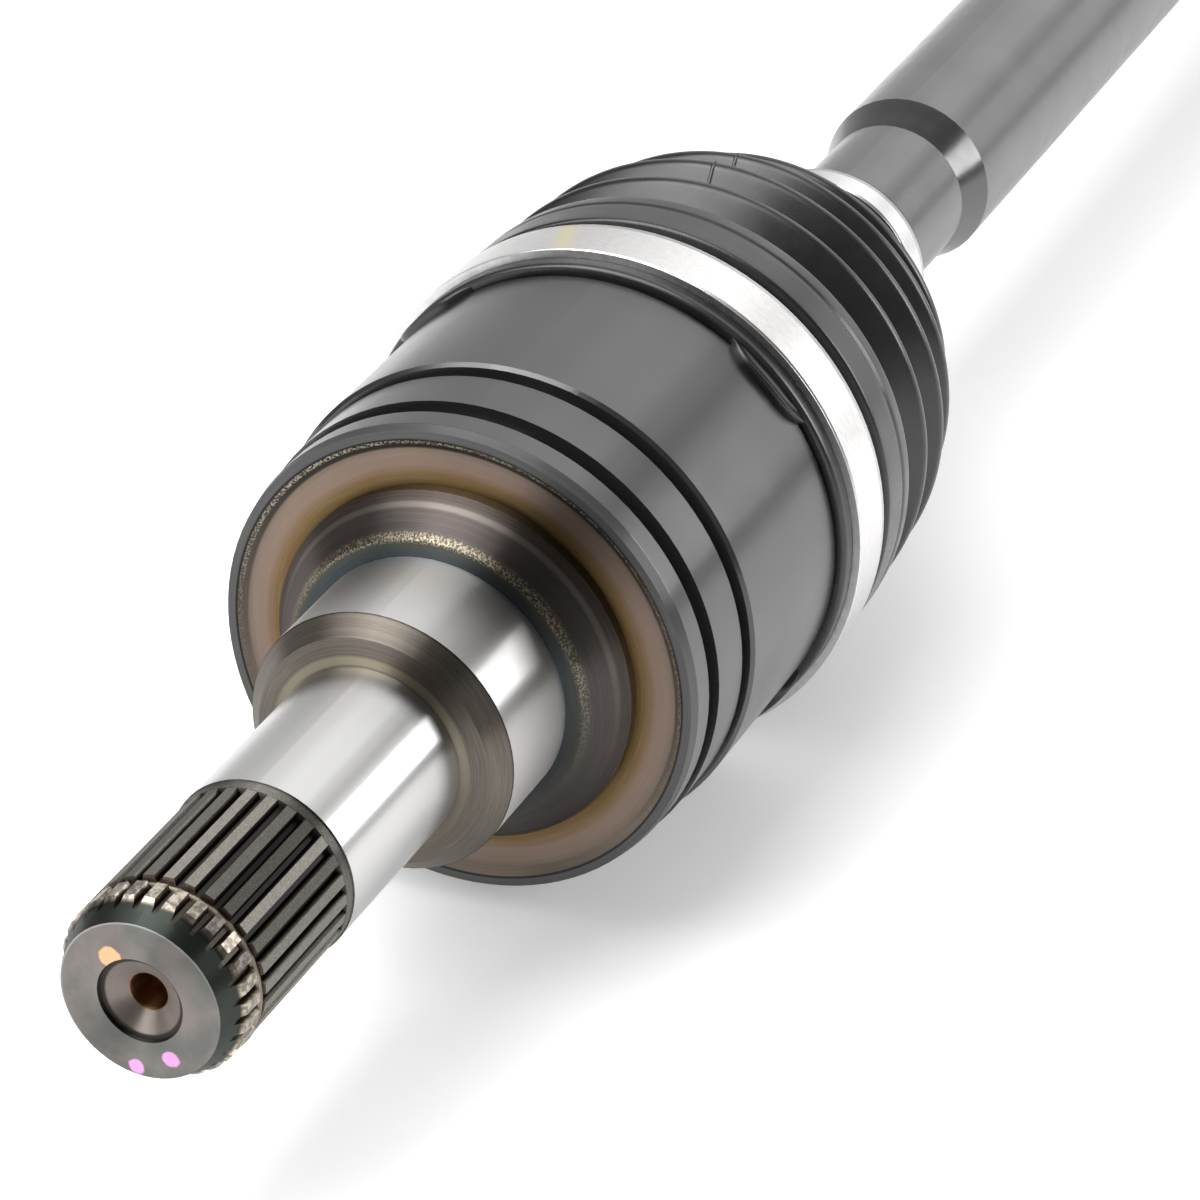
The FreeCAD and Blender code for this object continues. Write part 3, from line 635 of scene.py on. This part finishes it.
# Outboard boot, from the bell towards the bar: the seam is its third valley, the seventh corner
SEAM_OUT = 599.9
waves_out = waves([(616.4, 44.5), (605.4, 43.41), (594.4, 40.13), (583.4, 34.66), (572.4, 27.0)], -11.0)
bell_side, bar_side = waves_out[:6], waves_out[7:]
collar_out = [(648.7, 45.02, 0.5), (633.4, 45.02, 0.3), (632.0, 45.5, 0.6), (627.4, 45.5, 0.8)]
under_out = [(627.4, 43.3, 0.8), (632.0, 41.9, 0.6), (648.7, 41.72, 0.3)]
tail_out = [(566.9, 19.2, 2.0), (554.9, 17.32, 1.0), (542.9, 17.32, 0.8)]
tail_under_out = [(542.9, 14.33, 0.2), (554.9, 14.33, 1.0), (566.9, 17.0, 1.5)]
seam_out = [(SEAM_OUT, 34.5, 0), (SEAM_OUT, 32.3, 0)]
bellows("outboard_bellows_bell", "outboard_boot",
        collar_out + bell_side + seam_out + inner_side(bell_side) + under_out)
bellows("outboard_bellows_bar", "outboard_boot",
        seam_out[:1] + bar_side + tail_out + tail_under_out + inner_side(bar_side) + seam_out[1:])

# Lugs of the inboard boot: tongues that lap over the barrel
LUG_COUNT = 4
LUG_FRONT_S = 159.6
LUG_BACK_S = 163.6
LUG_CORNER_S = 163.05
LUG_HALF_WIDTH = 9.3
LUG_BASE_R = 42.95
LUG_COLUMNS = 48


def lug_profile(share):
    """Line of (s, r) points over the rim and the hollow face, at this share of the half width."""
    front = LUG_FRONT_S + (LUG_CORNER_S - LUG_FRONT_S) * abs(share) ** 3.5
    length = LUG_BACK_S - front
    height = (1 - abs(share) ** 6) ** 0.5
    rim = 43.4 + 1.1 * height
    hollow = 43.3 + 0.75 * height
    line = [(0.0, LUG_BASE_R), (0.0, rim - 0.7), (0.08, rim - 0.25), (0.24, rim - 0.05), (0.38, rim),
            (0.55, rim - 0.1), (0.8, hollow + 0.2), (1.1, hollow), (2.2, hollow - 0.05),
            (length, hollow), (length, LUG_BASE_R)]
    return [(front + min(along, length), r) for along, r in line]


def lug(name, degrees):
    points = []
    for column in range(LUG_COLUMNS + 1):
        share = math.sin(math.pi * (column / LUG_COLUMNS - 0.5))
        turn = math.degrees(LUG_HALF_WIDTH * share / LUG_BASE_R)
        profile = lug_profile(share)
        points += [spot(s, r, degrees + turn) for s, r in profile]
    count = len(profile)
    faces = []
    for here in range(0, LUG_COLUMNS * count, count):
        there = here + count
        faces += [(here + index, here + index + 1, there + index + 1, there + index)
                  for index in range(count - 1)]
    piece = mesh_piece(name, points, faces, rubber, "inboard_housing")
    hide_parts("inboard_boot")


for number in range(LUG_COUNT):
    lug(f"boot_lug_{number + 1}", 45 + 360 / LUG_COUNT * number)

# Floor
FLOOR_Z = -0.0468
FLOOR_REACH = 3.0


def floor_finish():
    """Matt white, lit a little from below as a light table is."""
    f = Finish("floor_finish", Roughness=0.65, Specular_IOR_Level=0.25, Emission_Strength=0.26,
               Emission_Color=(1, 1, 1, 1))
    return f.give(Base_Color=f.mix(f.noise(0.01, 2.0), *STUDIO_FLOOR))


floor_corners = [(x * FLOOR_REACH, y * FLOOR_REACH, FLOOR_Z) for x, y in ((-1, -1), (1, -1), (1, 1), (-1, 1))]
floor = mesh_piece("studio_floor", floor_corners, [(0, 1, 2, 3)], floor_finish(), smooth=False)

# Long softboxes beside the shaft: brightness by the turn about the X axis, from +Y over the top to -Y
STRIPS = ((0.0, 0.9), (0.12, 0.8), (0.2, 0.85), (0.34, 1.2), (0.48, 1.6), (0.6, 1.75), (0.66, 1.35),
          (0.73, 1.05), (0.8, 1.6), (0.93, 1.5), (1.0, 0.9))
# Share of that brightness from -X to +X, as half of x + 1
ENDS = ((0.0, 0.9), (0.3, 0.9), (0.42, 0.22), (0.70, 0.22), (0.84, 1.0), (1.0, 1.0))
# Direction in which the studio is dim, the cosines between which it gets so, and the light left there
DARK_SIDE = Vector((-0.796, -0.353, 0.4915))
DARK_FROM_TO = (0.25, 0.85)
DARK_SHARE = 0.15


def studio_world():
    """Surroundings that the shaft mirrors: soft strips along it, darker at mid length and on one side."""
    world = bpy.data.worlds.new("studio_world")
    scene.world = world
    world.use_nodes = True
    tree = world.node_tree
    background = tree.nodes["Background"]

    def math_node(operation, first, second):
        made = tree.nodes.new("ShaderNodeMath")
        made.operation = operation
        for socket, value in zip(made.inputs, (first, second)):
            if isinstance(value, bpy.types.NodeSocket):
                tree.links.new(value, socket)
            else:
                socket.default_value = value
        return made.outputs[0]

    def levels(value, stops):
        made = tree.nodes.new("ShaderNodeValToRGB")
        made.color_ramp.interpolation = "EASE"
        tree.links.new(value, made.inputs[0])
        set_ramp(made.color_ramp, [(position, (level,) * 3) for position, level in stops])
        return made.outputs[0]

    direction = tree.nodes.new("ShaderNodeTexCoord").outputs["Generated"]
    parts = tree.nodes.new("ShaderNodeSeparateXYZ")
    tree.links.new(direction, parts.inputs[0])
    height = math_node("MAXIMUM", parts.outputs["Z"], 0.0)
    turn = math_node("DIVIDE", math_node("ARCTAN2", height, parts.outputs["Y"]), math.pi)
    along = math_node("MULTIPLY", math_node("ADD", parts.outputs["X"], 1.0), 0.5)
    towards = tree.nodes.new("ShaderNodeVectorMath")
    towards.operation = "DOT_PRODUCT"
    tree.links.new(direction, towards.inputs[0])
    towards.inputs[1].default_value = DARK_SIDE
    shade = tree.nodes.new("ShaderNodeMapRange")
    shade.interpolation_type = "SMOOTHSTEP"
    tree.links.new(towards.outputs["Value"], shade.inputs[0])
    for index, value in enumerate((*DARK_FROM_TO, 1.0, DARK_SHARE), 1):
        shade.inputs[index].default_value = value
    strength = math_node("MULTIPLY", shade.outputs[0], levels(along, ENDS))
    tree.links.new(levels(turn, STRIPS), background.inputs["Color"])
    tree.links.new(strength, background.inputs["Strength"])


studio_world()


def softbox(name, place, target, size, power):
    lamp = bpy.data.lights.new(name, "AREA")
    lamp.shape = "RECTANGLE"
    lamp.size, lamp.size_y = size
    lamp.energy = power
    holder = bpy.data.objects.new(name, lamp)
    scene.collection.objects.link(holder)
    holder.location = place
    holder.rotation_euler = (Vector(target) - Vector(place)).to_track_quat("-Z", "Y").to_euler()
    holder.visible_camera = False


softbox("key_softbox", (-0.60, 0.52, 0.90), (0.06, 0, 0), (0.95, 0.95), 12.0)
softbox("overhead_softbox", (-0.1, 0.2, 1.2), (-0.1, 0, 0), (0.9, 0.9), 9.0)
softbox("side_strip", (0.425, -0.55, 0.26), (0.425, 0, 0.26), (0.25, 0.34), 1.9)

# Camera at the photograph's place and angle: millimetres for the lens, row frame for the rest
LENS = 149.56
SENSOR = 36
CAMERA_PLACE = (-0.60497, -0.30126, 0.40141)
CAMERA_RIGHT = Vector((0.40545, -0.91414, 0))
CAMERA_UP = Vector((0.44929, 0.19928, 0.8709))
CAMERA_AHEAD = Vector((0.79608, 0.35311, -0.4915))

camera = bpy.data.cameras.new("photo_camera")
camera.lens = LENS
camera.sensor_width = SENSOR
camera.clip_start = 0.01
camera_holder = bpy.data.objects.new("photo_camera", camera)
scene.collection.objects.link(camera_holder)
camera_turn = Matrix((CAMERA_RIGHT, CAMERA_UP, -CAMERA_AHEAD)).transposed().to_4x4()
camera_holder.matrix_world = Matrix.Translation(CAMERA_PLACE) @ camera_turn
scene.camera = camera_holder
scene.view_settings.view_transform = "Standard"
